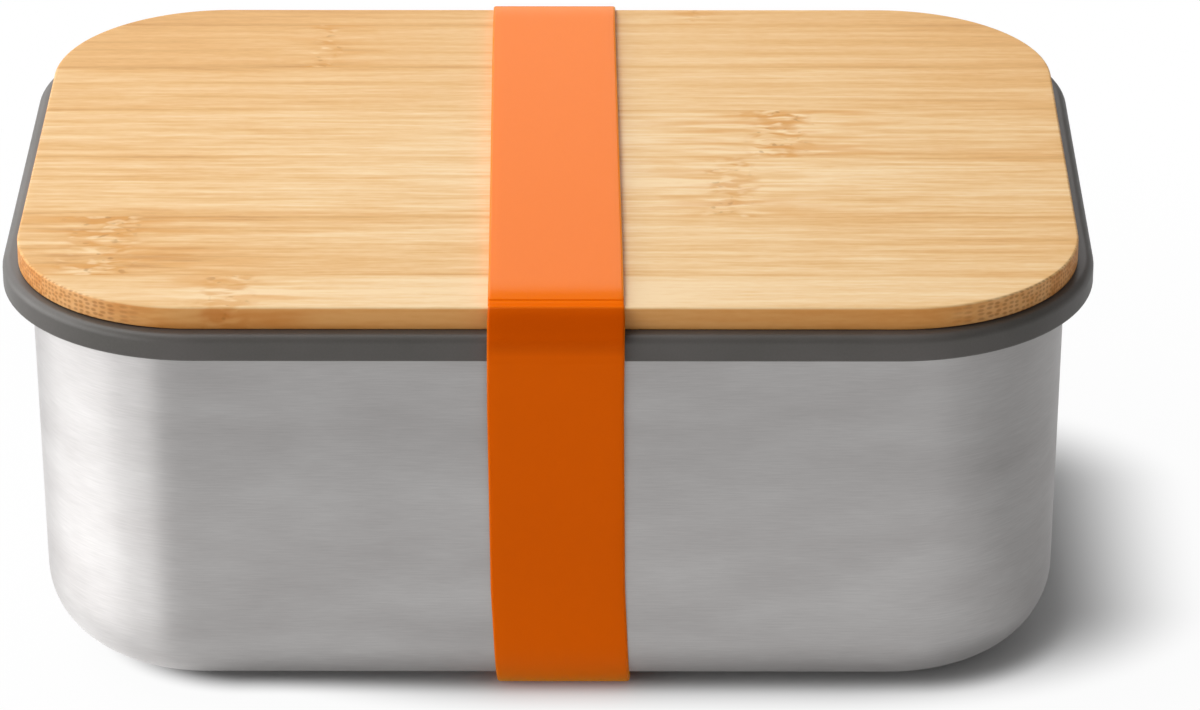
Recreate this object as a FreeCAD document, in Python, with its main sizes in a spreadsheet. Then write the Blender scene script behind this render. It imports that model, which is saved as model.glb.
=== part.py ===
import FreeCAD, Part
import math
import os
import Sketcher

# Lunch box: a pressed steel tub closed by a bamboo chopping board that carries a silicone seal,
# and held shut by an endless silicone strap. Millimetres, +X along the long side, -Y the front,
# +Z up. The origin lies under the middle of the box, on the surface that the strap stands on.

# Driving sizes
SIZES = {
    # Tub: outside of its mouth, height to the top of its rim, and how far each wall leans in
    "tub_length": 175.5,
    "tub_width": 125.5,
    "tub_height": 69.7,
    "tub_corner_radius": 29.6,
    "tub_lean": 0.8,
    "tub_base_radius": 13.3,
    "tub_wall": 0.7,
    # Turned-over rim of the tub
    "rim_reach": 2.3,
    "rim_height": 2.8,
    "rim_rounding": 1.0,
    # Seal: skirt outside the rim, web on top of it, ribbed leg inside the mouth
    "skirt_wall": 2.2,
    "skirt_height": 4.6,
    "skirt_rounding": 1.5,
    "skirt_foot_rounding": 0.6,
    "web_height": 1.3,
    "leg_wall": 1.6,
    "leg_depth": 7.5,
    "rib_reach": 0.4,
    "rib_height": 0.8,
    "rib_spacing": 2.2,
    # Bead that holds the seal in the board's groove
    "bead_reach": 0.8,
    "bead_height": 1.2,
    "bead_drop": 2.4,
    # Board: the edge that shows above the seal, and the plug below it
    "board_edge": 4.0,
    "board_inset": 2.8,
    "board_rounding": 1.0,
    "plug_depth": 6.5,
    # Bamboo strips, numbered from the front; the third takes what the others leave of the board
    "strip_1_width": 12.7,
    "strip_2_width": 23.7,
    "strip_4_width": 20.9,
    "strip_5_width": 19.4,
    "strip_6_width": 20.0,
    "strip_7_width": 7.66,
    # Strap
    "strap_width": 22.4,
    "strap_thickness": 1.5,
    "strap_shift": 1.2,
    # Clearances
    "seal_clearance": 0.25,
    "plug_clearance": 0.1,
    "strap_clearance": 0.2,
}
STRIP_NUMBERS = range(1, 8)

# Places worked out from the driving sizes, each after the ones that it builds on. Every outline of
# the box is the outline of the tub's mouth moved out, or in where the offset is negative.
PLACES = {
    # Heights of the tub
    "base_z": "sizes.strap_thickness + sizes.strap_clearance",
    "floor_z": "base_z + sizes.tub_wall",
    "rim_top_z": "base_z + sizes.tub_height",
    "flange_z": "rim_top_z - sizes.tub_wall",
    "hem_foot_z": "rim_top_z - sizes.rim_height",
    "lean_rate": "sizes.tub_lean / (flange_z - base_z)",
    # Outlines of the tub
    "wall_offset": "0",
    "base_offset": "-sizes.tub_lean",
    "mouth_offset": "-sizes.tub_wall",
    "floor_offset": "base_offset - sizes.tub_wall + lean_rate * sizes.tub_wall",
    "rim_offset": "sizes.rim_reach",
    "hem_offset": "sizes.rim_reach - sizes.tub_wall",
    "floor_radius": "sizes.tub_base_radius - sizes.tub_wall",
    # Heights of the seal
    "seat_z": "rim_top_z + sizes.web_height",
    "skirt_foot_z": "seat_z - sizes.skirt_height",
    "leg_foot_z": "seat_z - sizes.leg_depth",
    "lower_rib_z": "leg_foot_z + sizes.rib_height",
    "lower_rib_top_z": "lower_rib_z + sizes.rib_height",
    "upper_rib_z": "lower_rib_z + sizes.rib_spacing",
    "upper_rib_top_z": "upper_rib_z + sizes.rib_height",
    "bead_top_z": "seat_z - sizes.bead_drop",
    "bead_foot_z": "bead_top_z - sizes.bead_height",
    # Outlines of the seal; its ribs clear the leaning wall at the foot of the leg
    "skirt_inner_offset": "rim_offset + sizes.seal_clearance",
    "skirt_offset": "skirt_inner_offset + sizes.skirt_wall",
    "rib_offset": "mouth_offset - lean_rate * (flange_z - leg_foot_z) - sizes.seal_clearance",
    "leg_offset": "rib_offset - sizes.rib_reach",
    "leg_inner_offset": "leg_offset - sizes.leg_wall",
    "bead_offset": "leg_inner_offset - sizes.bead_reach",
    # Board
    "board_top_z": "seat_z + sizes.board_edge",
    "plug_foot_z": "seat_z - sizes.plug_depth",
    "groove_top_z": "bead_top_z + sizes.plug_clearance",
    "groove_foot_z": "bead_foot_z - sizes.plug_clearance",
    "board_offset": "skirt_offset - sizes.board_inset",
    "plug_offset": "leg_inner_offset - sizes.plug_clearance",
    "groove_offset": "bead_offset - sizes.plug_clearance",
    "board_half_width": "sizes.tub_width / 2 + board_offset",
    "seal_half_width": "sizes.tub_width / 2 + skirt_offset",
    "seal_length": "sizes.tub_length + 2 * skirt_offset",
    # Rounded edges that the strap is stretched over: centre and radius of its inner face there
    "board_bend_y": "board_half_width - sizes.board_rounding",
    "board_bend_z": "board_top_z - sizes.board_rounding",
    "board_bend_radius": "sizes.board_rounding + sizes.strap_clearance",
    "skirt_bend_y": "seal_half_width - sizes.skirt_rounding",
    "skirt_bend_z": "seat_z - sizes.skirt_rounding",
    "skirt_bend_radius": "sizes.skirt_rounding + sizes.strap_clearance",
    "foot_bend_y": "seal_half_width - sizes.skirt_foot_rounding",
    "foot_bend_z": "skirt_foot_z + sizes.skirt_foot_rounding",
    "foot_bend_radius": "sizes.skirt_foot_rounding + sizes.strap_clearance",
    "base_half_width": "sizes.tub_width / 2 + base_offset",
    "base_bend_y": "base_half_width + sizes.tub_base_radius * (lean_rate - sqrt(1 + lean_rate ^ 2))",
    "base_bend_z": "base_z + sizes.tub_base_radius",
    "base_bend_radius": "sizes.tub_base_radius + sizes.strap_clearance",
    # Glue seams, each named for the strip behind it, between the board's front and back edges
    "strip_1_y": "-board_half_width",
    "strip_2_y": "strip_1_y + sizes.strip_1_width",
    "strip_3_y": "strip_2_y + sizes.strip_2_width",
    "strip_8_y": "board_half_width",
    "strip_7_y": "strip_8_y - sizes.strip_7_width",
    "strip_6_y": "strip_7_y - sizes.strip_6_width",
    "strip_5_y": "strip_6_y - sizes.strip_5_width",
    "strip_4_y": "strip_5_y - sizes.strip_4_width",
}

STRAP_BENDS = ("board_bend", "skirt_bend", "foot_bend", "base_bend")
SAME = 1e-4

doc = FreeCAD.newDocument("lunch_box")


def fill_sheet(name, cells):
    """Write one row per cell, with its alias beside its number or formula."""
    sheet = doc.addObject("Spreadsheet::Sheet", name)
    for row, (alias, content) in enumerate(cells.items(), 1):
        sheet.set(f"A{row}", alias)
        sheet.set(f"B{row}", content)
        sheet.setAlias(f"B{row}", alias)
    doc.recompute()
    return sheet


sizes = fill_sheet("sizes", {alias: str(number) for alias, number in SIZES.items()})
places = fill_sheet("places", {alias: "=" + formula for alias, formula in PLACES.items()})


def new_body(name):
    """Start a body whose label names the piece and its file."""
    body = doc.addObject("PartDesign::Body", name)
    body.Label = name
    return body


def new_sketch(body, name, role):
    """Start a sketch on one of the body's own origin planes."""
    sketch = body.newObject("Sketcher::SketchObject", name)
    plane = next(item for item in body.Origin.OriginFeatures if item.Role == role)
    sketch.AttachmentSupport = [(plane, "")]
    sketch.MapMode = "FlatFace"
    return sketch


def bind(sketch, constraint, formula):
    """Add a dimension to a sketch and tie it to a formula of the sheets."""
    sketch.setExpression(f"Constraints[{sketch.addConstraint(constraint)}]", formula)


def add_outline(sketch, offset):
    """Draw the tub's mouth outline, a rounded rectangle, moved out by an offset."""
    distance = places.get(offset)
    half_length = sizes.tub_length / 2 + distance
    half_width = sizes.tub_width / 2 + distance
    radius = sizes.tub_corner_radius + distance
    corners = [(1, -1), (1, 1), (-1, 1), (-1, -1)]
    geometry = []
    for quarter, (side_x, side_y) in enumerate(corners):
        centre = FreeCAD.Vector(side_x * (half_length - radius), side_y * (half_width - radius), 0)
        start = (quarter - 1) * math.pi / 2
        circle = Part.Circle(centre, FreeCAD.Vector(0, 0, 1), radius)
        geometry.append(Part.ArcOfCircle(circle, start, start + math.pi / 2))
    for arc, following in zip(geometry[:4], geometry[1:4] + geometry[:1]):
        geometry.append(Part.LineSegment(arc.EndPoint, following.StartPoint))
    first = sketch.addGeometry(geometry, False)[0]
    arcs = [first + index for index in range(4)]
    lines = [first + 4 + index for index in range(4)]
    for index in range(4):
        following = arcs[(index + 1) % 4]
        sketch.addConstraint(Sketcher.Constraint("Tangent", arcs[index], 2, lines[index], 1))
        sketch.addConstraint(Sketcher.Constraint("Tangent", lines[index], 2, following, 1))
        direction = "Vertical" if index % 2 == 0 else "Horizontal"
        sketch.addConstraint(Sketcher.Constraint(direction, lines[index]))
    for index in range(1, 4):
        sketch.addConstraint(Sketcher.Constraint("Equal", arcs[0], arcs[index]))
    sketch.addConstraint(Sketcher.Constraint("Symmetric", arcs[0], 3, arcs[2], 3, -1, 1))
    moved = f"2 * places.{offset}"
    bind(sketch, Sketcher.Constraint("DistanceX", lines[2], 1, lines[0], 1, 2 * half_length),
         f"sizes.tub_length + {moved}")
    bind(sketch, Sketcher.Constraint("DistanceY", lines[3], 1, lines[1], 1, 2 * half_width),
         f"sizes.tub_width + {moved}")
    bind(sketch, Sketcher.Constraint("Radius", arcs[0], radius),
         f"sizes.tub_corner_radius + places.{offset}")


def level_sketch(body, name, height, offsets):
    """Draw one outline, or the two of a ring, on a level plane at a height."""
    sketch = new_sketch(body, name, "XY_Plane")
    sketch.setExpression("AttachmentOffset.Base.z", f"places.{height}")
    for offset in offsets:
        add_outline(sketch, offset)
    return sketch


def add_pad(body, name, offsets, foot, top):
    """Raise a plate or a ring from one height to another."""
    pad = body.newObject("PartDesign::Pad", name)
    pad.Profile = level_sketch(body, name + "_outline", foot, offsets)
    pad.setExpression("Length", f"places.{top} - places.{foot}")
    doc.recompute()
    return pad


def add_loft(body, kind, name, foot, top):
    """Join two outlines, each given by its height and offset, by straight leaning walls."""
    loft = body.newObject(f"PartDesign::{kind}", name)
    loft.Profile = level_sketch(body, name + "_foot", foot[0], [foot[1]])
    loft.Sections = [level_sketch(body, name + "_top", top[0], [top[1]])]
    loft.Ruled = True
    doc.recompute()
    return loft


def edges_round(feature, height, outer=True):
    """Name the edges round the outside, or round the hole, of the level face at a height."""
    wanted = []
    for face in feature.Shape.Faces:
        box = face.BoundBox
        if box.ZLength < SAME and abs(box.ZMin - places.get(height)) < SAME:
            wires = [wire for wire in face.Wires if wire.isSame(face.OuterWire) == outer]
            wanted += [edge for wire in wires for edge in wire.Edges]
    return [f"Edge{index}" for index, edge in enumerate(feature.Shape.Edges, 1)
            if any(edge.isSame(other) for other in wanted)]


def add_fillet(body, name, base, edges, radius):
    """Round the named edges of a feature."""
    fillet = body.newObject("PartDesign::Fillet", name)
    fillet.Base = (base, edges)
    fillet.setExpression("Radius", radius)
    doc.recompute()
    return fillet


def make_tub():
    """Pressed steel tub: leaning walls, a rounded base edge and a rim turned out and down."""
    body = new_body("steel_tub")
    add_loft(body, "AdditiveLoft", "tub_outside", ("base_z", "base_offset"), ("flange_z", "wall_offset"))
    inside = add_loft(body, "SubtractiveLoft", "tub_inside",
                      ("floor_z", "floor_offset"), ("flange_z", "mouth_offset"))
    floor = add_fillet(body, "floor_edge", inside, edges_round(inside, "floor_z"), "places.floor_radius")
    add_fillet(body, "base_edge", floor, edges_round(floor, "base_z"), "sizes.tub_base_radius")
    add_pad(body, "rim_flange", ["rim_offset", "mouth_offset"], "flange_z", "rim_top_z")
    hem = add_pad(body, "rim_hem", ["rim_offset", "hem_offset"], "hem_foot_z", "flange_z")
    add_fillet(body, "rim_edge", hem, edges_round(hem, "rim_top_z"), "sizes.rim_rounding")
    return body


def make_seal():
    """Silicone ring: a skirt over the rim, a web on it and a leg with two ribs inside the mouth."""
    body = new_body("lid_seal")
    add_pad(body, "seal_web", ["skirt_offset", "leg_inner_offset"], "rim_top_z", "seat_z")
    add_pad(body, "seal_skirt", ["skirt_offset", "skirt_inner_offset"], "skirt_foot_z", "rim_top_z")
    add_pad(body, "seal_leg", ["leg_offset", "leg_inner_offset"], "leg_foot_z", "rim_top_z")
    for rib in ("lower_rib", "upper_rib"):
        add_pad(body, rib, ["rib_offset", "leg_inner_offset"], rib + "_z", rib + "_top_z")
    bead = add_pad(body, "seal_bead", ["leg_offset", "bead_offset"], "bead_foot_z", "bead_top_z")
    top = add_fillet(body, "seal_top_edge", bead, edges_round(bead, "seat_z"), "sizes.skirt_rounding")
    foot_edges = edges_round(top, "skirt_foot_z") + edges_round(top, "skirt_foot_z", outer=False)
    add_fillet(body, "seal_foot_edges", top, foot_edges, "sizes.skirt_foot_rounding")
    return body


def make_board():
    """The whole bamboo board: the edge that shows, and a grooved plug that the seal is stretched on."""
    body = new_body("bamboo_board")
    add_pad(body, "plug_tip", ["plug_offset"], "plug_foot_z", "groove_foot_z")
    add_pad(body, "groove_core", ["groove_offset"], "groove_foot_z", "groove_top_z")
    add_pad(body, "plug_root", ["plug_offset"], "groove_top_z", "seat_z")
    edge = add_pad(body, "board_edge_pad", ["board_offset"], "seat_z", "board_top_z")
    add_fillet(body, "board_top_edge", edge, edges_round(edge, "board_top_z"), "sizes.board_rounding")
    return body


def make_strip(board, number):
    """One bamboo strip: the board between two neighbouring glue seams, or a seam and an edge."""
    front = f"places.strip_{number}_y"
    slab = doc.addObject("Part::Box", f"strip_{number}_slab")
    slab.setExpression("Length", "places.seal_length")
    slab.setExpression("Width", f"places.strip_{number + 1}_y - {front}")
    slab.setExpression("Height", "places.board_top_z")
    slab.setExpression("Placement.Base.x", "-places.seal_length / 2")
    slab.setExpression("Placement.Base.y", front)
    strip = doc.addObject("Part::Common", f"bamboo_strip_{number}")
    strip.Label = f"bamboo_strip_{number}"
    strip.Base = board
    strip.Tool = slab
    return strip


def taut_loop(bends):
    """Arcs and straight runs of a loop stretched over round edges, given anticlockwise.

    A run leaves one circle and meets the next along their common outer normal: the normal n has
    n . d = (r1 - r2) / L, where d is the unit vector between the centres and L their distance.
    """
    normals = []
    for (y1, z1, r1), (y2, z2, r2) in zip(bends, bends[1:] + bends[:1]):
        length = math.hypot(y2 - y1, z2 - z1)
        heading = math.atan2(z2 - z1, y2 - y1)
        normals.append(heading - math.acos((r1 - r2) / length))
    arcs = []
    for (y, z, radius), arrive, leave in zip(bends, normals[-1:] + normals[:-1], normals):
        while leave < arrive:
            leave += 2 * math.pi
        circle = Part.Circle(FreeCAD.Vector(y, z, 0), FreeCAD.Vector(0, 0, 1), radius)
        arcs.append(Part.ArcOfCircle(circle, arrive, leave))
    runs = [Part.LineSegment(arc.EndPoint, following.StartPoint)
            for arc, following in zip(arcs, arcs[1:] + arcs[:1])]
    return arcs, runs


def make_strap():
    """Endless strap: the taut loop over the lid's and the tub's edges, thickened outwards."""
    body = new_body("strap")
    sketch = new_sketch(body, "strap_loop", "YZ_Plane")
    sketch.setExpression("AttachmentOffset.Base.z", "sizes.strap_shift - sizes.strap_width / 2")
    right = [(1, bend) for bend in reversed(STRAP_BENDS)]
    left = [(-1, bend) for bend in STRAP_BENDS]
    order = right + left
    circles = [(side * places.get(bend + "_y"), places.get(bend + "_z"), places.get(bend + "_radius"))
               for side, bend in order]
    arcs, runs = taut_loop(circles)
    sketch.addGeometry(arcs + runs, False)
    count = len(arcs)
    for index, ((side, bend), (y, z, radius)) in enumerate(zip(order, circles)):
        following = (index + 1) % count
        sketch.addConstraint(Sketcher.Constraint("Tangent", index, 2, count + index, 1))
        sketch.addConstraint(Sketcher.Constraint("Tangent", count + index, 2, following, 1))
        bind(sketch, Sketcher.Constraint("DistanceX", -1, 1, index, 3, y), f"{side} * places.{bend}_y")
        bind(sketch, Sketcher.Constraint("DistanceY", -1, 1, index, 3, z), f"places.{bend}_z")
        bind(sketch, Sketcher.Constraint("Radius", index, radius), f"places.{bend}_radius")
    block = body.newObject("PartDesign::Pad", "strap_block")
    block.Profile = sketch
    block.setExpression("Length", "sizes.strap_width")
    doc.recompute()
    ends = [f"Face{index}" for index, face in enumerate(block.Shape.Faces, 1)
            if face.BoundBox.XLength < SAME]
    band = body.newObject("PartDesign::Thickness", "strap_band")
    band.Base = (block, ends)
    band.setExpression("Value", "sizes.strap_thickness")
    band.Reversed = False
    doc.recompute()
    return body


def check_document(pieces):
    """Stop if any object failed to compute, or any piece isn't one valid solid."""
    for item in doc.Objects:
        if "Invalid" in item.State or "Error" in item.State:
            raise RuntimeError(f"{item.Name} did not compute: {item.State}")
    for piece in pieces:
        shape = piece.Shape
        if shape.isNull() or not shape.isValid() or len(shape.Solids) != 1:
            raise RuntimeError(f"{piece.Label} is not one valid solid")


tub = make_tub()
seal = make_seal()
board = make_board()
strips = [make_strip(board, number) for number in STRIP_NUMBERS]
strap = make_strap()
doc.recompute()

pieces = [tub, seal, *strips, strap]
check_document(pieces + [board])
os.makedirs("parts", exist_ok=True)
for piece in pieces:
    piece.Shape.exportStep(f"parts/{piece.Label}.step")
    box = piece.Shape.optimalBoundingBox(False)
    print(f"{piece.Label}: {piece.Shape.Volume / 1000:.2f} cm3, "
          f"{box.XLength:.1f} x {box.YLength:.1f} x {box.ZLength:.1f} mm")
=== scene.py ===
"""Steel lunch box with a bamboo board for a lid, a grey silicone seal and an orange silicone strap.

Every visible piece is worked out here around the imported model, in metres and in its frame: +X along
the long side, -Y the front, +Z up. The tub and the seal are sections carried round one rounded
outline, the board's strips are sections between glue seams, and the strap is a section carried
round a taut loop.
"""

import math

import bmesh
import bpy
import numpy as np
from mathutils import Matrix, Vector


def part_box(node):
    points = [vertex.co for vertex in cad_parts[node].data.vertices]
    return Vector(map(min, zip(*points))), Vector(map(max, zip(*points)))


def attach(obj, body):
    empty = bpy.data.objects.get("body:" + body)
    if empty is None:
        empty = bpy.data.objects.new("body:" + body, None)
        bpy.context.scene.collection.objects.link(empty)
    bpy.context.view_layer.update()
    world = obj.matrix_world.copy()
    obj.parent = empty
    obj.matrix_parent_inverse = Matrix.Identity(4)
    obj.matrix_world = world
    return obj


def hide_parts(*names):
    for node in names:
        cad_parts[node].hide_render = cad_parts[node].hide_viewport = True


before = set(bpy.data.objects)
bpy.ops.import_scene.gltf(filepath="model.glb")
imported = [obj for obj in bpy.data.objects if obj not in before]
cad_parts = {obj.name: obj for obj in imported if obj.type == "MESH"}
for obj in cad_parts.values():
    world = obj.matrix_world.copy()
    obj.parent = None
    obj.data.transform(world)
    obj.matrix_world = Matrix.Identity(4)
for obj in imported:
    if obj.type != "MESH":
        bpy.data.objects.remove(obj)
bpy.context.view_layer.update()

MM = 0.001

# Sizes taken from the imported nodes
tub_low, tub_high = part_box("steel_tub")
seal_low, seal_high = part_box("lid_seal")
strap_low, strap_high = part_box("strap")
STRIPS = [f"bamboo_strip_{number}" for number in range(1, 8)]
strip_boxes = [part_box(name) for name in STRIPS]
board_top = strip_boxes[2][1].z
board_foot = strip_boxes[2][0].z
seat = seal_high.z
board_half_width = strip_boxes[-1][1].y
seal_half_width = seal_high.y

# Sizes of the details
WALL = 0.7 * MM
LEAN = 0.8 * MM
CORNER_RADIUS = 29.6 * MM
BASE_RADIUS = 13.3 * MM
RIM_REACH = 2.3 * MM
RIM_HEIGHT = 2.8 * MM
RIM_ROUNDING = 1.0 * MM
HEM_ROUNDING = 0.3 * MM
# Height round which the steel's walls are painted lightest, with painted shade above and below
LIGHTEST_WALL_HEIGHT = 27 * MM
SKIRT_HEIGHT = 4.6 * MM
SKIRT_WALL = 2.2 * MM
SKIRT_ROUNDING = 1.5 * MM
SKIRT_FOOT_ROUNDING = 0.6 * MM
LEG_WALL = 1.6 * MM
LEG_ROUNDING = 0.4 * MM
RIB_REACH = 0.4 * MM
RIB_HEIGHT = 0.8 * MM
RIB_SPACING = 2.2 * MM
RIB_ROUNDING = 0.25 * MM
BEAD_REACH = 0.8 * MM
BEAD_HEIGHT = 1.2 * MM
BEAD_DROP = 2.4 * MM
BEAD_ROUNDING = 0.3 * MM
INNER_ROUNDING = 0.1 * MM
BOARD_CORNER_RADIUS = 30.2 * MM
BOARD_ROUNDING = 0.45 * MM
BOARD_FOOT_ROUNDING = 0.3 * MM
PLUG_ROUNDING = 0.8 * MM
BOARD_BAND = 3 * MM
BUNDLE_SPACING = 0.75 * MM
SEAM_FADE = 1 * MM
STRAP_EDGE_ROUNDING = 0.5 * MM
STRAP_FOLD_RADIUS = 1.4 * MM
STRAP_THINNING = 0.3 * MM
FOLD_THINNING = 0.55 * MM
FOLD_DIP = 7 * MM
STRAP_WIDENING = 0.012
SEAL_CLEARANCE = 0.25 * MM
PLUG_CLEARANCE = 0.1 * MM
STRAP_CLEARANCE = 0.2 * MM

# Places worked out from them; an offset moves the outline of the tub's mouth outwards
mouth_half_length = tub_high.x - RIM_REACH
mouth_half_width = tub_high.y - RIM_REACH
CORNER_X = mouth_half_length - CORNER_RADIUS
CORNER_Y = mouth_half_width - CORNER_RADIUS
rim_top = tub_high.z
flange = rim_top - WALL
tub_base = tub_low.z
lean_rate = LEAN / (flange - tub_base)
skirt_offset = seal_half_width - mouth_half_width
skirt_foot = seat - SKIRT_HEIGHT
rib_offset = -WALL - lean_rate * (flange - seal_low.z) - SEAL_CLEARANCE
leg_offset = rib_offset - RIB_REACH
leg_inner_offset = leg_offset - LEG_WALL
bead_offset = leg_inner_offset - BEAD_REACH
bead_top = seat - BEAD_DROP
bead_foot = bead_top - BEAD_HEIGHT
board_offset = board_half_width - mouth_half_width
board_corner_shift = CORNER_RADIUS + board_offset - BOARD_CORNER_RADIUS
plug_offset = leg_inner_offset - PLUG_CLEARANCE
groove_offset = bead_offset - PLUG_CLEARANCE
strap_width = strap_high.x - strap_low.x
strap_thickness = strap_high.z - board_top - STRAP_CLEARANCE


def linear(hex_colour):
    """Turn an sRGB hex value into linear red, green, blue and alpha."""
    srgb = np.array([int(hex_colour[place:place + 2], 16) for place in (1, 3, 5)]) / 255
    parts = np.where(srgb <= 0.04045, srgb / 12.92, ((srgb + 0.055) / 1.055) ** 2.4)
    return (*parts.tolist(), 1.0)


def smooth(share):
    """Ease a share from 0 to 1: 3 t squared minus 2 t cubed, held flat outside."""
    share = np.clip(share, 0, 1)
    return share * share * (3 - 2 * share)


def eased(value, start, end):
    """Ease from 0 where a value is at its start to 1 where it is at its end."""
    return smooth((value - start) / (end - start))


# Shapes

def subdivided(rows, steps):
    """Rows of numbers, with each gap between two rows cut into so many even steps."""
    at = np.concatenate([[0], np.cumsum(1 / np.repeat(steps, steps))])
    whole = np.arange(len(rows))
    return np.stack([np.interp(at, whole, column) for column in rows.T], 1)


def rounded_section(corners, closed=False, turn=math.radians(9), spacing=4 * MM):
    """Points of a section given by its corners, each (offset, height, rounding radius).

    A corner with a radius becomes an arc: it starts and ends radius * tan(turn angle / 2) from the
    corner, and its points are centre + radius * (cos, sin). Straight runs get points in between.
    """
    points = np.array([corner[:2] for corner in corners], float)
    radii = [corner[2] for corner in corners]
    count = len(points)
    pieces = []
    for index in range(count):
        here = points[index]
        if not closed and index in (0, count - 1):
            pieces.append(here[None])
            continue
        back = points[index - 1] - here
        ahead = points[(index + 1) % count] - here
        back, ahead = back / np.linalg.norm(back), ahead / np.linalg.norm(ahead)
        half = math.acos(np.clip(back @ ahead, -1, 1)) / 2
        radius = radii[index]
        if radius == 0 or half > math.pi / 2 - 1e-6:
            pieces.append(here[None])
            continue
        middle = back + ahead
        centre = here + middle / np.linalg.norm(middle) * radius / math.sin(half)
        start = here + back * radius / math.tan(half) - centre
        end = here + ahead * radius / math.tan(half) - centre
        first = math.atan2(start[1], start[0])
        sweep = (math.atan2(end[1], end[0]) - first + math.pi) % (2 * math.pi) - math.pi
        angles = first + sweep * np.linspace(0, 1, max(3, round(abs(sweep) / turn) + 1))
        pieces.append(centre + radius * np.stack([np.cos(angles), np.sin(angles)], 1))
    path = np.concatenate(pieces + ([pieces[0][:1]] if closed else []))
    gaps = np.linalg.norm(np.diff(path, axis=0), axis=1)
    path = path[np.append(True, gaps > 1e-9)]
    gaps = gaps[gaps > 1e-9]
    return subdivided(path, np.maximum(1, np.ceil(gaps / spacing)).astype(int))


def mouth_ring(corner_steps=28, side_steps=14):
    """Round the tub's mouth from the middle of the back, anticlockwise from above.

    Gives for each point the centre of its corner arc and its outward direction, so that the outline
    moved by an offset is centre + (corner radius + offset) * direction. On a straight side the
    centre slides from one corner to the next while the direction stays.
    """
    x, y = CORNER_X, CORNER_Y
    keys = np.array([(0, y, 90), (-x, y, 90), (-x, y, 180), (-x, -y, 180), (-x, -y, 270), (x, -y, 270),
                     (x, -y, 360), (x, y, 360), (x, y, 450), (0, y, 450)], float)
    ring = subdivided(keys, [side_steps, corner_steps] * 4 + [side_steps])
    angle = np.radians(ring[:, 2])
    return ring[:, :2], np.stack([np.cos(angle), np.sin(angle)], 1)


RING_CENTRE, RING_DIRECTION = mouth_ring()


def swept_round(section):
    """Carry a section of offsets and heights round the mouth ring: a grid of points and its UV.

    The UV holds the length round the ring and the length along the section, in metres.
    """
    reach = CORNER_RADIUS + section[:, 0]
    level = RING_CENTRE[None] + reach[:, None, None] * RING_DIRECTION[None]
    height = np.broadcast_to(section[:, 1, None, None], level.shape[:2] + (1,))
    ring = RING_CENTRE + CORNER_RADIUS * RING_DIRECTION
    round_length = np.append(0, np.cumsum(np.linalg.norm(np.diff(ring, axis=0), axis=1)))
    along = np.append(0, np.cumsum(np.linalg.norm(np.diff(section, axis=0), axis=1)))
    uv = np.stack(np.broadcast_arrays(round_length[None, :], along[:, None]), -1)
    return np.concatenate([level, height], 2), uv


def shrunk_to_middle(edge, rings=10):
    """Close a level outline: rings scaled from the outline down to one point. Its UV is x and y."""
    share = np.linspace(1, 0, rings)[:, None, None]
    level = edge[None, :, :2] * share
    height = np.broadcast_to(edge[None, :, 2:], (rings, len(edge), 1))
    return np.concatenate([level, height], 2), level


def make_piece(name, patches, material, sharp_degrees=40):
    """Join grids of points into one closed mesh: weld the seams and poles, turn faces outwards."""
    points, faces, uvs, count = [], [], [], 0
    for grid, uv in patches:
        rows, columns = grid.shape[:2]
        row, column = np.meshgrid(np.arange(rows - 1), np.arange(columns - 1), indexing="ij")
        corner = (row * columns + column).reshape(-1, 1)
        faces.append(count + corner + np.array([[0, 1, columns + 1, columns]]))
        points.append(grid.reshape(-1, 3))
        uvs.append(uv.reshape(-1, 2))
        count += rows * columns
    faces = np.concatenate(faces)
    mesh = bpy.data.meshes.new(name)
    mesh.from_pydata(np.concatenate(points).tolist(), [], faces.tolist())
    layer = mesh.uv_layers.new(name="surface")
    layer.uv.foreach_set("vector", np.concatenate(uvs)[faces.ravel()].astype(np.float32).ravel())
    work = bmesh.new()
    work.from_mesh(mesh)
    bmesh.ops.remove_doubles(work, verts=work.verts, dist=2e-6)
    bmesh.ops.dissolve_degenerate(work, edges=work.edges, dist=1e-7)
    bmesh.ops.recalc_face_normals(work, faces=work.faces)
    work.to_mesh(mesh)
    work.free()
    mesh.shade_smooth()
    mesh.set_sharp_from_angle(angle=math.radians(sharp_degrees))
    mesh.materials.append(material)
    piece = bpy.data.objects.new(name, mesh)
    bpy.context.scene.collection.objects.link(piece)
    return piece


def hold(piece, body, node):
    """Let a piece stand for its node and move with its body."""
    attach(piece, body)
    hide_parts(node)


# Materials

def new_material(name):
    """Start a material with its surface shader; gives the material, its tree and the shader."""
    material = bpy.data.materials.new(name)
    material.use_nodes = True
    tree = material.node_tree
    return material, tree, tree.nodes["Principled BSDF"]


def fill(tree, node, inputs):
    """Set a node's inputs: a socket is linked, anything else is the input's own value."""
    for key, value in inputs.items():
        if isinstance(value, bpy.types.NodeSocket):
            tree.links.new(value, node.inputs[key])
        else:
            node.inputs[key].default_value = value


def add(tree, kind, inputs=None, **settings):
    """Add one node with its settings and its inputs."""
    node = tree.nodes.new(kind)
    for key, value in settings.items():
        setattr(node, key, value)
    fill(tree, node, inputs or {})
    return node


def noise_of_size(tree, place, size, detail=2.0, roughness=0.5, output="Fac"):
    """Noise whose features have the given size along each axis, in metres."""
    scale = [1 / length for length in size]
    place = add(tree, "ShaderNodeMapping", {"Vector": place, "Scale": scale}).outputs["Vector"]
    inputs = {"Vector": place, "Scale": 1.0, "Detail": detail, "Roughness": roughness}
    return add(tree, "ShaderNodeTexNoise", inputs).outputs[output]


def calculate(tree, operation, *values):
    """Work out one number from numbers or sockets."""
    return add(tree, "ShaderNodeMath", dict(enumerate(values)), operation=operation).outputs["Value"]


def combine(tree, operation, *vectors):
    """Work out one vector from vectors or sockets."""
    node = add(tree, "ShaderNodeVectorMath", dict(enumerate(vectors)), operation=operation)
    return node.outputs["Vector"]


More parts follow.
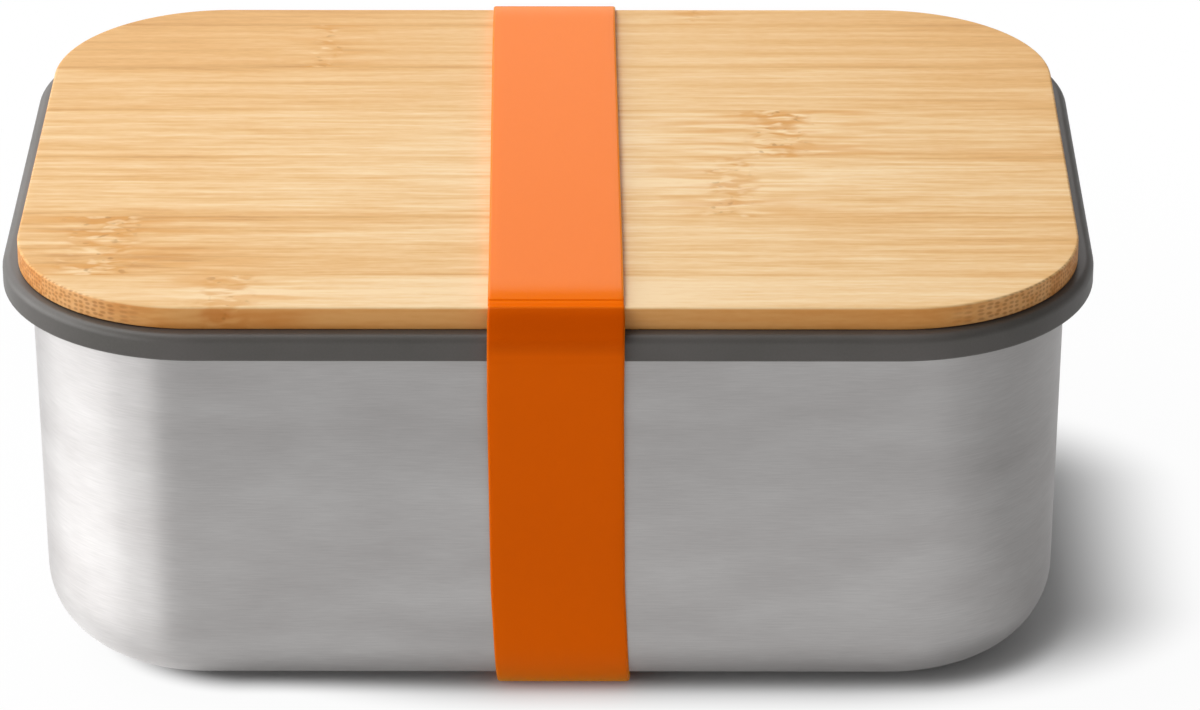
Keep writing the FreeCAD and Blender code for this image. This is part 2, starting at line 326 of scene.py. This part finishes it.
def scaled(tree, vector, factor):
    """Multiply a vector or a colour by one number."""
    node = add(tree, "ShaderNodeVectorMath", {0: vector, "Scale": factor}, operation="SCALE")
    return node.outputs["Vector"]


def split(tree, vector):
    """The three parts of a vector, by the names X, Y and Z."""
    return add(tree, "ShaderNodeSeparateXYZ", {"Vector": vector}).outputs


def remap(tree, value, start, end, low=0.0, high=1.0, straight=False):
    """Turn start to end into low to high, held flat outside: eased at the ends or in a straight line."""
    inputs = {"Value": value, "From Min": start, "From Max": end, "To Min": low, "To Max": high}
    kind = "LINEAR" if straight else "SMOOTHSTEP"
    return add(tree, "ShaderNodeMapRange", inputs, interpolation_type=kind).outputs["Result"]


def mixed(tree, share, under, over, kind="MIX"):
    """Lay one colour over another by a share."""
    inputs = {0: share, 6: under, 7: over}
    return add(tree, "ShaderNodeMix", inputs, data_type="RGBA", blend_type=kind).outputs[2]


def toned(tree, value, stops):
    """Colour a value by a ramp; each stop is a position and a hex value."""
    node = add(tree, "ShaderNodeValToRGB", {"Fac": value})
    elements = node.color_ramp.elements
    for index in (0, -1):
        position, tint = stops[index]
        elements[index].position = position
        elements[index].color = linear(tint)
    for position, tint in stops[1:-1]:
        elements.new(position).color = linear(tint)
    return node.outputs["Color"]


def object_place(tree):
    """The place of a point in its object's own metres."""
    return add(tree, "ShaderNodeTexCoord").outputs["Object"]


def point_value(tree, name, output):
    """A value that the mesh keeps at its points."""
    return add(tree, "ShaderNodeAttribute", attribute_name=name).outputs[output]


def brushed_steel():
    """Stainless sheet, deep drawn and then brushed round the walls with a fine abrasive band.

    The brushing leaves hair lines along the walls, so reflections stay narrow along them and are
    drawn out up and down. The brushing's pressure varies, which shows as faint cloudy patches.
    """
    material, tree, shader = new_material("belt_brushed_stainless_steel")
    surface = add(tree, "ShaderNodeUVMap", uv_map="surface").outputs["UV"]
    # Hair lines are 0.05 mm wide on the real sheet; drawn at 0.27 mm so that they show
    hair = noise_of_size(tree, surface, (5 * MM, 0.27 * MM, 1), 3.0, 0.6)
    cloud = noise_of_size(tree, surface, (36 * MM, 12 * MM, 1), 4.0, 0.6)
    tint = toned(tree, cloud, [(0.3, "#B7B4B3"), (0.7, "#C6C4C3")])
    line = remap(tree, hair, 0.3, 0.7, 0.93, 1.065, straight=True)
    rough = remap(tree, hair, 0.3, 0.7, 0.41, 0.45, straight=True)
    # Painted shade: the walls are painted lighter round the middle and darker towards rim and foot
    height = split(tree, object_place(tree))["Z"]
    off_middle = calculate(tree, "SUBTRACT", height, LIGHTEST_WALL_HEIGHT)
    off_middle = calculate(tree, "ABSOLUTE", off_middle)
    painted_wall_shade = remap(tree, off_middle, 4 * MM, 22 * MM, 1.05, 0.965)
    colour = scaled(tree, tint, calculate(tree, "MULTIPLY", line, painted_wall_shade))
    relief = add(tree, "ShaderNodeBump", {"Height": hair, "Strength": 0.1, "Distance": 0.006 * MM})
    along = add(tree, "ShaderNodeTangent", direction_type="UV_MAP", uv_map="surface")
    fill(tree, shader, {
        "Base Color": colour,
        "Metallic": 1.0,
        "Roughness": rough,
        "Anisotropic": 0.95,
        "Anisotropic Rotation": 0.25,
        "Tangent": along.outputs["Tangent"],
        "Normal": relief.outputs["Normal"],
    })
    return material


def moulded_silicone(name, deep, pale, drawn, roughness, gloss, gloss_tint="#FFFFFF",
                     bloom=0.0, bloom_tint="#FFFFFF"):
    """Silicone rubber from a bead-blasted mould: an even colour with a dry, very fine grain.

    The grain is about 0.05 mm on the real rubber; drawn at 0.35 mm so that it shows. Where the piece's
    stretch attribute says so, the colour is mixed towards the clearer drawn one: painted light and shade.
    """
    material, tree, shader = new_material(name)
    place = object_place(tree)
    cloud = noise_of_size(tree, place, [14 * MM] * 3)
    grain = noise_of_size(tree, place, [0.35 * MM] * 3)
    both = calculate(tree, "MULTIPLY_ADD", grain, 0.45, cloud)
    tone = toned(tree, both, [(0.5, deep), (0.95, pale)])
    # Painted light and shade: the stretch attribute mixes the tone towards the clearer drawn colour
    colour = mixed(tree, point_value(tree, "stretch", "Fac"), tone, linear(drawn))
    relief = add(tree, "ShaderNodeBump", {"Height": grain, "Strength": 0.25, "Distance": 0.02 * MM})
    fill(tree, shader, {
        "Base Color": colour,
        "Roughness": roughness,
        "IOR": 1.41,
        "Specular IOR Level": gloss,
        "Specular Tint": linear(gloss_tint),
        "Sheen Weight": bloom,
        "Sheen Roughness": 0.5,
        "Sheen Tint": linear(bloom_tint),
        "Normal": relief.outputs["Normal"],
    })
    return material


def sanded_bamboo():
    """Flat-pressed bamboo strips, sanded smooth and lightly oiled.

    Fibre bundles run the length of each strip: fine pale and tan streaks on its faces and dots on
    its ends. Where the cane had a joint, the fibres bend round a row of short brown flecks, and
    light and dark flames run out from it. The oil leaves a low, silky gloss.
    """
    material, tree, shader = new_material("sanded_oiled_bamboo")
    place = object_place(tree)
    own = combine(tree, "ADD", place, point_value(tree, "cane", "Vector"))
    joint = split(tree, point_value(tree, "joint_row", "Vector"))
    figure = split(tree, point_value(tree, "figure", "Vector"))

    # Distance from the strip's joint row in half lengths of the row, with a ragged edge
    ragged = noise_of_size(tree, own, [4 * MM] * 3)
    drift = calculate(tree, "MULTIPLY_ADD", ragged, 9 * MM, -4.5 * MM)
    away = calculate(tree, "SUBTRACT", split(tree, place)["X"], joint["X"])
    away = calculate(tree, "ADD", away, drift)
    away = calculate(tree, "DIVIDE", away, joint["Y"])
    away = calculate(tree, "ABSOLUTE", away)
    core = remap(tree, away, 0.3, 1.25, joint["Z"], 0.0)
    flame = remap(tree, away, 0.3, 5.5, joint["Z"], 0.0)

    # Fibres bend round the joint and sway a little everywhere
    half = (0.5, 0.5, 0.5)
    bend = noise_of_size(tree, own, [6 * MM] * 3, 1.0, output="Color")
    bend = scaled(tree, combine(tree, "SUBTRACT", bend, half), core)
    sway = noise_of_size(tree, own, (70 * MM, 20 * MM, 20 * MM), 1.0, output="Color")
    sway = combine(tree, "SUBTRACT", sway, half)
    both = combine(tree, "MULTIPLY_ADD", sway, half, bend)
    bent = combine(tree, "MULTIPLY_ADD", both, (0, 2.2 * MM, 2.2 * MM), own)

    # Streaks, all long in X: length and width in mm, weight and where; more means darker
    streaks = [
        (110, 2.4, 0.24, 1.0),
        (130, 6, 0.22, 1.0),
        (26, 1.3, 0.48, figure["Y"]),
        (9, 0.8, 0.32, figure["Y"]),
        (2.2, 0.5, 0.14, 1.0),
        (15, 2.0, 0.70, flame),
    ]
    value = calculate(tree, "MULTIPLY_ADD", figure["Z"], SEAM_DARKNESS, figure["X"])
    for length, width, weight, share in streaks:
        streak = noise_of_size(tree, bent, (length * MM, width * MM, width * MM), 1.0)
        streak = calculate(tree, "MULTIPLY_ADD", streak, weight, -weight / 2)
        value = calculate(tree, "MULTIPLY_ADD", streak, share, value)
    tones = [(0.34, "#F5D5A5"), (0.50, "#EDC48B"), (0.66, "#E3B06F"), (0.90, "#C98F4D")]
    colour = toned(tree, value, tones)

    # Round the joint: amber tongues, soft amber and pale patches, and a few small brown dots.
    # Each has its length and width in mm, the noise it starts and is full at, weight, where and tint
    marks = [
        (16, 2.2, 0.46, 0.68, 0.75, flame, "#DE9F50"),
        (5.5, 2.2, 0.42, 0.60, 0.85, core, "#D89743"),
        (3.4, 1.7, 0.46, 0.30, 0.6, core, "#F8DBAC"),
        (2.0, 1.8, 0.62, 0.76, 0.6, core, "#B0762F"),
    ]
    for length, width, start, full, weight, share, tint in marks:
        mark = noise_of_size(tree, bent, (length * MM, width * MM, width * MM), 1.0)
        mark = remap(tree, mark, start, full, 0.0, weight)
        mark = calculate(tree, "MULTIPLY", mark, share)
        colour = mixed(tree, mark, colour, linear(tint))

    # The upright faces are browner than the sanded top, and the ends less so than the long edges:
    # partly the edges' own browner tone, partly painted shade where less light falls on them
    normal = split(tree, add(tree, "ShaderNodeNewGeometry").outputs["Normal"])
    endwise = remap(tree, calculate(tree, "ABSOLUTE", normal["X"]), 0.15, 0.5)
    upright = remap(tree, normal["Z"], 0.25, 0.8, 1.0, 0.0)
    brown = calculate(tree, "MULTIPLY_ADD", endwise, -0.3, 1.0)
    brown = calculate(tree, "MULTIPLY", brown, upright)
    colour = mixed(tree, brown, colour, linear("#F4CE9E"), "MULTIPLY")
    # The ends show the fibre bundles as brown dots
    own = split(tree, own)
    endways = add(tree, "ShaderNodeCombineXYZ", {"X": own["Y"], "Y": own["Z"]}).outputs["Vector"]
    cells = {"Vector": endways, "Scale": 1 / BUNDLE_SPACING, "Randomness": 0.4}
    bundle = add(tree, "ShaderNodeTexVoronoi", cells, voronoi_dimensions="2D", feature="F1")
    dots = remap(tree, bundle.outputs["Distance"], 0.15, 0.5, 0.5, 0.0)
    dots = calculate(tree, "MULTIPLY", dots, endwise)
    colour = mixed(tree, dots, colour, linear("#A0571C"))

    rough = remap(tree, value, 0.3, 0.7, 0.5, 0.6, straight=True)
    relief = add(tree, "ShaderNodeBump", {"Height": value, "Strength": 0.15, "Distance": 0.03 * MM})
    fill(tree, shader, {
        "Base Color": colour,
        "Roughness": rough,
        "Specular IOR Level": 0.25,
        "Normal": relief.outputs["Normal"],
    })
    return material


# Tub

def make_tub(material):
    """Drawn tub: floor, rounded floor edge, leaning wall, rim turned out and down, and back outside."""
    flat = -CORNER_RADIUS / 2
    section = rounded_section([
        (flat, tub_base + WALL, 0),
        (-LEAN - WALL, tub_base + WALL, BASE_RADIUS - WALL),
        (-WALL, rim_top, RIM_ROUNDING),
        (RIM_REACH, rim_top, RIM_ROUNDING),
        (RIM_REACH, rim_top - RIM_HEIGHT, HEM_ROUNDING),
        (RIM_REACH - WALL, rim_top - RIM_HEIGHT, HEM_ROUNDING),
        (RIM_REACH - WALL, flange, HEM_ROUNDING),
        (0, flange, HEM_ROUNDING),
        (-LEAN, tub_base, BASE_RADIUS),
        (flat, tub_base, 0),
    ], turn=math.radians(6))
    wall, uv = swept_round(section)
    patches = [(wall, uv), shrunk_to_middle(wall[0]), shrunk_to_middle(wall[-1])]
    hold(make_piece("tub", patches, material), "tub", "steel_tub")


# Seal

def make_seal(material):
    """Ring of rubber: a round-edged skirt over the rim, a web, and a leg with two ribs and a bead."""
    foot = seal_low.z
    lower = foot + RIB_HEIGHT
    upper = lower + RIB_SPACING
    section = [
        (leg_inner_offset, seat, RIB_ROUNDING),
        (skirt_offset, seat, SKIRT_ROUNDING),
        (skirt_offset, skirt_foot, SKIRT_FOOT_ROUNDING),
        (skirt_offset - SKIRT_WALL, skirt_foot, SKIRT_FOOT_ROUNDING),
        (skirt_offset - SKIRT_WALL, rim_top, BEAD_ROUNDING),
        (leg_offset, rim_top, BEAD_ROUNDING),
    ]
    for rib_foot in (upper, lower):
        section += [
            (leg_offset, rib_foot + RIB_HEIGHT, INNER_ROUNDING),
            (rib_offset, rib_foot + RIB_HEIGHT, RIB_ROUNDING),
            (rib_offset, rib_foot, RIB_ROUNDING),
            (leg_offset, rib_foot, INNER_ROUNDING),
        ]
    section += [
        (leg_offset, foot, LEG_ROUNDING),
        (leg_inner_offset, foot, LEG_ROUNDING),
        (leg_inner_offset, bead_foot, INNER_ROUNDING),
        (bead_offset, bead_foot, BEAD_ROUNDING),
        (bead_offset, bead_top, BEAD_ROUNDING),
        (leg_inner_offset, bead_top, INNER_ROUNDING),
    ]
    ring = swept_round(rounded_section(section, closed=True))
    hold(make_piece("seal", [ring], material), "lid", "lid_seal")


# Board

# Where each strip's joint row lies, from the front: place along X and half length in mm, strength.
# The fifth strip shows none
JOINT_ROWS = [
    (-53.0, 5.0, 0.7),
    (-75.0, 6.5, 0.9),
    (31.5, 4.5, 0.75),
    (40.0, 6.0, 1.0),
    (120.0, 4.0, 0.0),
    (-41.5, 2.6, 0.7),
    (25.5, 1.8, 0.5),
]
# Each strip's figure, from the front: darkness and strength of its streaks
FIGURES = [
    (0.42, 0.55),
    (0.53, 0.8),
    (0.47, 0.85),
    (0.48, 0.8),
    (0.53, 0.65),
    (0.58, 0.4),
    (0.61, 0.35),
]
# Each strip shows the next place of the cane, so far on in metres
CANE_STEP = np.array([0.37, 0.11, 0.05])
# The board is browner beside its seams, and painted shade darkens it towards its ends:
# distance from the palest place, darkness
SEAM_DARKNESS = 0.13
PALEST_X = 12 * MM
PAINTED_SHADE_AT = (5 * MM, 80 * MM)
PAINTED_SHADE_TO_ENDS = (-0.05, 0.085)
# Points of a strip across its width and along its length
STRIP_COLUMNS = 33
STRIP_ROWS = 49


def places_of(piece):
    """The places of a piece's points, one row each."""
    places = np.empty(3 * len(piece.data.vertices))
    piece.data.vertices.foreach_get("co", places)
    return places.reshape(-1, 3)


def make_strip(number, name, material):
    """One glued strip: long faces from end to end, and ends that follow the board's outline.

    The board's edge is a section of offsets and heights. At each of its points the end follows the
    corner's arc, centre + radius * (cos, sin), across the strip's width, and the long faces run
    from -x to +x of the end. The strips at the front and back reach round to the board's long edge.
    """
    low, high = strip_boxes[number]
    edge = rounded_section([
        (board_offset - BOARD_BAND, board_top, 0),
        (board_offset, board_top, BOARD_ROUNDING),
        (board_offset, seat, BOARD_FOOT_ROUNDING),
        (plug_offset, seat, 0),
        (plug_offset, bead_top + PLUG_CLEARANCE, 0),
        (groove_offset, bead_top + PLUG_CLEARANCE, 0),
        (groove_offset, bead_foot - PLUG_CLEARANCE, 0),
        (plug_offset, bead_foot - PLUG_CLEARANCE, 0),
        (plug_offset, board_foot, PLUG_ROUNDING),
        (plug_offset - BOARD_BAND, board_foot, 0),
    ], spacing=1.2 * MM)
    offsets, heights = edge[:, :1], edge[:, 1:]
    # The part that shows above the seal has a corner radius of its own, so its arcs' centres move
    shift = board_corner_shift * np.clip((heights - seat) / BOARD_FOOT_ROUNDING, 0, 1)
    corner_x, corner_y = CORNER_X + shift, CORNER_Y + shift
    radius = CORNER_RADIUS + offsets - shift
    share = np.linspace(0, 1, STRIP_COLUMNS)[None]
    if number in (0, len(STRIPS) - 1):
        side = -1 if number == 0 else 1
        inner = abs(high.y if number == 0 else low.y)
        start = np.arcsin(np.clip((inner - corner_y) / radius, -1, 1))
        angle = start + (math.pi / 2 - start) * share
        across = side * (corner_y + radius * np.sin(angle))
        reach = corner_x + radius * np.cos(angle)
    else:
        across = low.y + (high.y - low.y) * share + 0 * radius
        rise = np.clip(np.abs(across) - corner_y, 0, radius)
        reach = corner_x + np.sqrt(radius ** 2 - rise ** 2)
    end = np.stack([reach, across, heights + 0 * across], 2)
    lengthways = np.linspace(-1, 1, STRIP_ROWS)[:, None, None]
    stretch = np.concatenate([lengthways, np.ones((STRIP_ROWS, 1, 2))], 2)
    runs = [end[0], end[-1], end[:, 0], end[:, -1]]
    grids = [end, end * np.array([-1, 1, 1])] + [run[None] * stretch for run in runs]
    piece = make_piece(name, [(grid, grid[:, :, :2]) for grid in grids], material, sharp_degrees=30)
    x, y = places_of(piece)[:, :2].T
    seams = [edge_y for edge_y in (low.y, high.y) if abs(edge_y) < board_half_width - SEAM_FADE]
    beside_seam = np.exp(-np.min([np.abs(y - edge_y) for edge_y in seams], 0) / SEAM_FADE)
    darkness, streak_strength = FIGURES[number]
    # Painted shade: the strip is painted darker towards the board's ends
    darkness = darkness + np.interp(np.abs(x - PALEST_X), PAINTED_SHADE_AT, PAINTED_SHADE_TO_ENDS)
    row_x, row_half, row_strength = JOINT_ROWS[number]
    values = {
        "cane": np.tile(CANE_STEP * number, (len(y), 1)),
        "joint_row": np.tile((row_x * MM, row_half * MM, row_strength), (len(y), 1)),
        "figure": np.stack([darkness, np.full(len(y), streak_strength), beside_seam], 1),
    }
    for key, value in values.items():
        attribute = piece.data.attributes.new(key, "FLOAT_VECTOR", "POINT")
        attribute.data.foreach_set("vector", value.ravel())
    hold(piece, "lid", STRIPS[number])


# Strap

# Shares of the strap's clearer drawn colour, as painted light and a painted highlight at the fold
PAINTED_LIGHT_ON_TOP = 0.8
PAINTED_HIGHLIGHT_AT_FOLD = 0.2
PAINTED_LIGHT_ON_WALLS = 0.6
PAINTED_LIGHT_AT_FOOT = 0.35
# Degrees from level between which it thickens again, fades to painted shade, and gets its painted
# highlight
THICKENS = (35, 64)
SHADE_FADES_IN = (36, 56)
HIGHLIGHT_FADES_IN = (4, 14)
# It thins in the last bit below the board's top, is painted lighter in the first below the seal's, and at
# its foot
TOP_DEPTH = 1.2 * MM
SEAL_DEPTH = 3 * MM
FOOT_HEIGHT = 35 * MM
# It was pulled on slightly askew: how far its middle is off along X, by place along Y or height, in mm
DRIFT_OVER_LID = [(-66, 1.7), (-50, 1.55), (50, 0.1), (66, 0.0)]
DRIFT_UNDER_TUB = [(-50, 2.6), (50, 0.3)]
DRIFT_IN_FRONT = [(2, 2.65), (10, 2.35), (24, 1.8), (60, 1.6), (76, 1.75)]
DRIFT_BEHIND = [(2, 0.2), (76, 0.0)]


def strap_loop(turn=math.radians(5), spacing=1.5 * MM):
    """Round the taut loop that the strap's inner face follows: places and outward normals in Y and Z.

    The loop runs over circles at the board's edge, the skirt's two edges and the tub's base edge, on
    both sides. The straight run between two circles leaves and arrives with one normal, whose angle
    is the run's heading less the arc cosine of the radii's difference over the run's length.
    """
    base_y = mouth_half_width - LEAN + BASE_RADIUS * (lean_rate - math.hypot(1, lean_rate))
    fold = STRAP_FOLD_RADIUS - STRAP_CLEARANCE
    bends = [
        (board_half_width - fold, board_top - fold, fold),
        (seal_half_width - SKIRT_ROUNDING, seat - SKIRT_ROUNDING, SKIRT_ROUNDING),
        (seal_half_width - SKIRT_FOOT_ROUNDING, skirt_foot + SKIRT_FOOT_ROUNDING, SKIRT_FOOT_ROUNDING),
        (base_y, tub_base + BASE_RADIUS, BASE_RADIUS),
    ]
    right = [(y, z, radius + STRAP_CLEARANCE) for y, z, radius in reversed(bends)]
    left = [(-y, z, radius + STRAP_CLEARANCE) for y, z, radius in bends]
    circles = right + left
    headings = []
    for (y1, z1, r1), (y2, z2, r2) in zip(circles, circles[1:] + circles[:1]):
        run = math.atan2(z2 - z1, y2 - y1)
        headings.append(run - math.acos((r1 - r2) / math.hypot(y2 - y1, z2 - z1)))
    places, normals = [], []
    for (y, z, radius), arrive, leave in zip(circles, headings[-1:] + headings[:-1], headings):
        leave += 2 * math.pi * math.ceil((arrive - leave) / (2 * math.pi))
        angle = np.linspace(arrive, leave, max(4, round((leave - arrive) / turn) + 1))
        normals.append(np.stack([np.cos(angle), np.sin(angle)], 1))
        places.append(np.array([y, z]) + radius * normals[-1])
    path = np.concatenate(places + [places[0][:1]])
    normal = np.concatenate(normals + [normals[0][:1]])
    gaps = np.linalg.norm(np.diff(path, axis=0), axis=1)
    steps = np.maximum(1, np.ceil(gaps / spacing)).astype(int)
    path, normal = subdivided(path, steps), subdivided(normal, steps)
    return path, normal / np.linalg.norm(normal, axis=1, keepdims=True)


def drift_at(place, table):
    """The strap's drift at a place, in a straight line from one row of a table to the next."""
    places, drifts = np.array(table).T * MM
    return np.interp(place, places, drifts)


def make_strap(material):
    """Endless band: a round-edged section carried round the taut loop over the lid and under the tub.

    A point of the band is the loop's point, plus the section's height along the normal, plus its
    width along X. Stretched over the board the band is thinner, most of all where it folds.
    """
    path, normal = strap_loop()
    half = strap_width / 2
    section = rounded_section([
        (-half, 0, STRAP_EDGE_ROUNDING), (half, 0, STRAP_EDGE_ROUNDING),
        (half, strap_thickness, STRAP_EDGE_ROUNDING), (-half, strap_thickness, STRAP_EDGE_ROUNDING),
    ], closed=True, turn=math.radians(15), spacing=2 * MM)
    y, z = path.T
    drift = np.where(y < 0, drift_at(z, DRIFT_IN_FRONT), drift_at(z, DRIFT_BEHIND))
    drift = np.where(z > board_top, drift_at(y, DRIFT_OVER_LID), drift)
    drift = np.where(z < tub_base, drift_at(y, DRIFT_UNDER_TUB), drift)
    # It thins on its way to the fold and gets its thickness back as it turns down
    turned = np.degrees(np.arctan2(np.abs(normal[:, 0]), normal[:, 1]))
    on_top = smooth((z - board_top) / TOP_DEPTH + 1)
    nearing = np.clip((np.abs(y) - board_half_width) / FOLD_DIP + 1, 0, 1) ** 2.5
    folded = np.where(turned < 1, nearing, 1 - eased(turned, *THICKENS)) * (z > seat)
    thinned = 1 - (STRAP_THINNING * on_top + FOLD_THINNING * folded) / strap_thickness
    away = section[None, :, 1] * thinned[:, None]
    wider = 1 + STRAP_WIDENING * (1 - on_top)
    grid = np.stack([
        drift[:, None] + section[None, :, 0] * wider[:, None],
        path[:, :1] + normal[:, :1] * away,
        path[:, 1:] + normal[:, 1:] * away,
    ], 2)
    grid[-1] = grid[0]
    band = make_piece("elastic_strap", [(grid, grid[:, :, :2])], material)
    # Painted light: lighter on top, a highlight at the folds, shade above the seal, lighter at the foot
    over_lid = PAINTED_LIGHT_ON_TOP * (1 - eased(turned, *SHADE_FADES_IN))
    over_lid += PAINTED_HIGHLIGHT_AT_FOLD * eased(turned, *HIGHLIGHT_FADES_IN) * (over_lid > PAINTED_LIGHT_ON_TOP / 2)
    on_walls = PAINTED_LIGHT_ON_WALLS * smooth((seat - z) / SEAL_DEPTH)
    painted_light_share = np.where(z > seat, over_lid, on_walls) + PAINTED_LIGHT_AT_FOOT * smooth(1 - z / FOOT_HEIGHT)
    places = places_of(band)
    nearest = np.argmin(np.hypot(places[:, 1, None] - path[:, 0], places[:, 2, None] - path[:, 1]), 1)
    # The stretch attribute carries this painted light and shade to the material
    band.data.attributes.new("stretch", "FLOAT", "POINT").data.foreach_set("value", painted_light_share[nearest])
    hold(band, "strap", "strap")


# Stage

# Where the floor keeps its shadow: a rectangle's middle and half size, and how much more Y counts
SOFT_SHADOW = ((21.6 * MM, -1.4 * MM), (25.3 * MM, 22.5 * MM), 1.69)
CONTACT_LINE = ((6 * MM, 1.1 * MM), (58 * MM, 31 * MM), 1.0)
MIRRORED_LINE = ((13 * MM, 1.1 * MM), (59 * MM, 31 * MM), 0.69)
# How far outside it the shadow, the line of contact and the last trace of grey fade out
SOFT_FADE = (39.2 * MM, 71.3 * MM)
LINE_FADE = (20.5 * MM, 28.3 * MM)
FAR_FADE = (100 * MM, 300 * MM)
NEAR_WHITE = 0.96
# Half size of the floor, and the place that the lamps face, in metres
FLOOR_REACH = 6
LAMP_AIM = Vector((0, 0, 0.04))


def make_sheet(name, material, low, high, height):
    """Level rectangle between two corners, for the set round the box."""
    corners = [(low[0], low[1]), (high[0], low[1]), (high[0], high[1]), (low[0], high[1])]
    mesh = bpy.data.meshes.new(name)
    mesh.from_pydata([(x, y, height) for x, y in corners], [], [(0, 1, 2, 3)])
    mesh.materials.append(material)
    sheet = bpy.data.objects.new(name, mesh)
    bpy.context.scene.collection.objects.link(sheet)
    return sheet


def outside(tree, place, middle, half, across):
    """Distance from a rectangle on the floor, with Y counted as many times over as across says."""
    away = combine(tree, "SUBTRACT", place, (*middle, 0))
    away = combine(tree, "ABSOLUTE", away)
    away = combine(tree, "SUBTRACT", away, (*half, 0))
    away = combine(tree, "MAXIMUM", away, (0, 0, 0))
    away = combine(tree, "MULTIPLY", away, (1, across, 0))
    return add(tree, "ShaderNodeVectorMath", {0: away}, operation="LENGTH").outputs["Value"]


def make_floor():
    """Wide white studio floor; it keeps the shadow near the box and is plain white further off."""
    material, tree, shader = new_material("matt_white_paper_floor")
    place = object_place(tree)
    ray = add(tree, "ShaderNodeLightPath").outputs
    # The soft shadow reaches further to the right; the dark line of contact follows the foot
    away = outside(tree, place, *SOFT_SHADOW)
    soft = remap(tree, away, *SOFT_FADE, 0.0, NEAR_WHITE)
    far = remap(tree, away, *FAR_FADE, 0.0, 1 - NEAR_WHITE)
    # The steel's foot mirrors a wider line in front than the camera sees
    foot = add(tree, "ShaderNodeMix", {
        0: ray["Is Glossy Ray"],
        2: outside(tree, place, *CONTACT_LINE),
        3: outside(tree, place, *MIRRORED_LINE),
    }).outputs[0]
    line = remap(tree, foot, *LINE_FADE)
    white = calculate(tree, "MULTIPLY_ADD", soft, line, far)
    seen = calculate(tree, "ADD", ray["Is Camera Ray"], ray["Is Glossy Ray"])
    seen = calculate(tree, "ADD", seen, ray["Is Transmission Ray"])
    share = calculate(tree, "MULTIPLY", white, seen)
    glow = add(tree, "ShaderNodeEmission", {"Color": linear("#FFFFFF"), "Strength": 1.0})
    blend = add(tree, "ShaderNodeMixShader", {
        0: share,
        1: shader.outputs["BSDF"],
        2: glow.outputs["Emission"],
    })
    fill(tree, shader, {"Base Color": linear("#DEDEDE"), "Roughness": 1.0, "Specular IOR Level": 0.0})
    fill(tree, tree.nodes["Material Output"], {"Surface": blend.outputs["Shader"]})
    make_sheet("floor", material, (-FLOOR_REACH, -FLOOR_REACH), (FLOOR_REACH, FLOOR_REACH), 0)


def make_grey_card():
    """Light grey card on the floor at the right, seen by reflections alone: the steel's darker corner."""
    material, tree, shader = new_material("matt_grey_card")
    fill(tree, shader, {"Base Color": linear("#E8E8E8"), "Roughness": 1.0, "Specular IOR Level": 0.0})
    card = make_sheet("grey_card", material, (0.105, -0.13), (0.9, 1.3), 1 * MM)
    card.visible_camera = card.visible_diffuse = False
    card.visible_transmission = card.visible_shadow = False


def add_softbox(name, place, size, radiance):
    """Area lamp that faces the box; its power gives the panel the brightness asked for."""
    lamp = bpy.data.lights.new(name, "AREA")
    lamp.shape = "RECTANGLE"
    lamp.size, lamp.size_y = size
    lamp.energy = radiance * math.pi * size[0] * size[1]
    softbox = bpy.data.objects.new(name, lamp)
    softbox.location = place
    softbox.rotation_euler = (LAMP_AIM - Vector(place)).to_track_quat("-Z", "Y").to_euler()
    bpy.context.scene.collection.objects.link(softbox)
    return softbox


def light_the_set():
    """Studio that darkens to the right above a white horizon, with softboxes above, left and behind."""
    world = bpy.data.worlds.new("studio")
    world.use_nodes = True
    tree = world.node_tree
    heading = split(tree, add(tree, "ShaderNodeTexCoord").outputs["Generated"])
    room = remap(tree, heading["X"], -0.8, 1.0, 0.42, 0.16, straight=True)
    horizon_foot, horizon_top = math.sin(math.radians(4.5)), math.sin(math.radians(8))
    sweep = remap(tree, heading["Z"], horizon_foot, horizon_top, 1.0, room)
    fill(tree, tree.nodes["Background"], {"Color": sweep})
    bpy.context.scene.world = world
    add_softbox("high_softbox", (-0.7, 0.35, 1.4), (1.3, 1.2), 3.6)
    add_softbox("left_softbox", (-0.85, -0.18, 0.28), (1.9, 0.5), 1.6)
    add_softbox("back_panel", (-0.4, 1.5, 0.68), (1.6, 0.76), 2.0)
    # White cards before the left softbox, bright in reflections alone: the steel's light corner
    wide_card = add_softbox("wide_card", (-0.84, -0.08, 0.3), (1.96, 0.6), 1.15)
    slim_card = add_softbox("slim_card", (-0.83, -0.05, 0.3), (0.8, 0.6), 1.3)
    wide_card.visible_diffuse = slim_card.visible_diffuse = False


def place_camera():
    """Camera at the place, turn and lens of the photograph, fitted to the box's edges."""
    lens = bpy.data.cameras.new("camera")
    lens.sensor_width = 36.0
    lens.lens = 170.194
    lens.clip_start, lens.clip_end = 0.01, 50.0
    camera = bpy.data.objects.new("camera", lens)
    turn = Matrix.Rotation(math.radians(0.262), 4, "Z")
    tilt = Matrix.Rotation(math.radians(64.262), 4, "X")
    roll = Matrix.Rotation(math.radians(-0.064), 4, "Z")
    place = Vector((12.797 * MM, -907.922 * MM, board_top + 397.94 * MM))
    camera.matrix_world = Matrix.Translation(place) @ turn @ tilt @ roll
    bpy.context.scene.collection.objects.link(camera)
    bpy.context.scene.camera = camera


make_tub(brushed_steel())
make_seal(moulded_silicone("moulded_grey_silicone", deep="#4D4A46", pale="#575350", drawn="#575350",
                           roughness=0.45, gloss=0.65))
bamboo = sanded_bamboo()
for strip_number, strip_name in enumerate(STRIPS):
    make_strip(strip_number, strip_name.replace("bamboo_strip", "board_strip"), bamboo)
# The strap's deep orange is its painted shade and the drawn orange its painted light
make_strap(moulded_silicone("moulded_orange_silicone", deep="#CE4C00", pale="#D24F00", drawn="#FF6C04",
                            roughness=0.22, gloss=0.08, gloss_tint="#FFC890",
                            bloom=0.5, bloom_tint="#FFD800"))
make_floor()
make_grey_card()
light_the_set()
place_camera()
bpy.context.scene.view_settings.view_transform = "Standard"
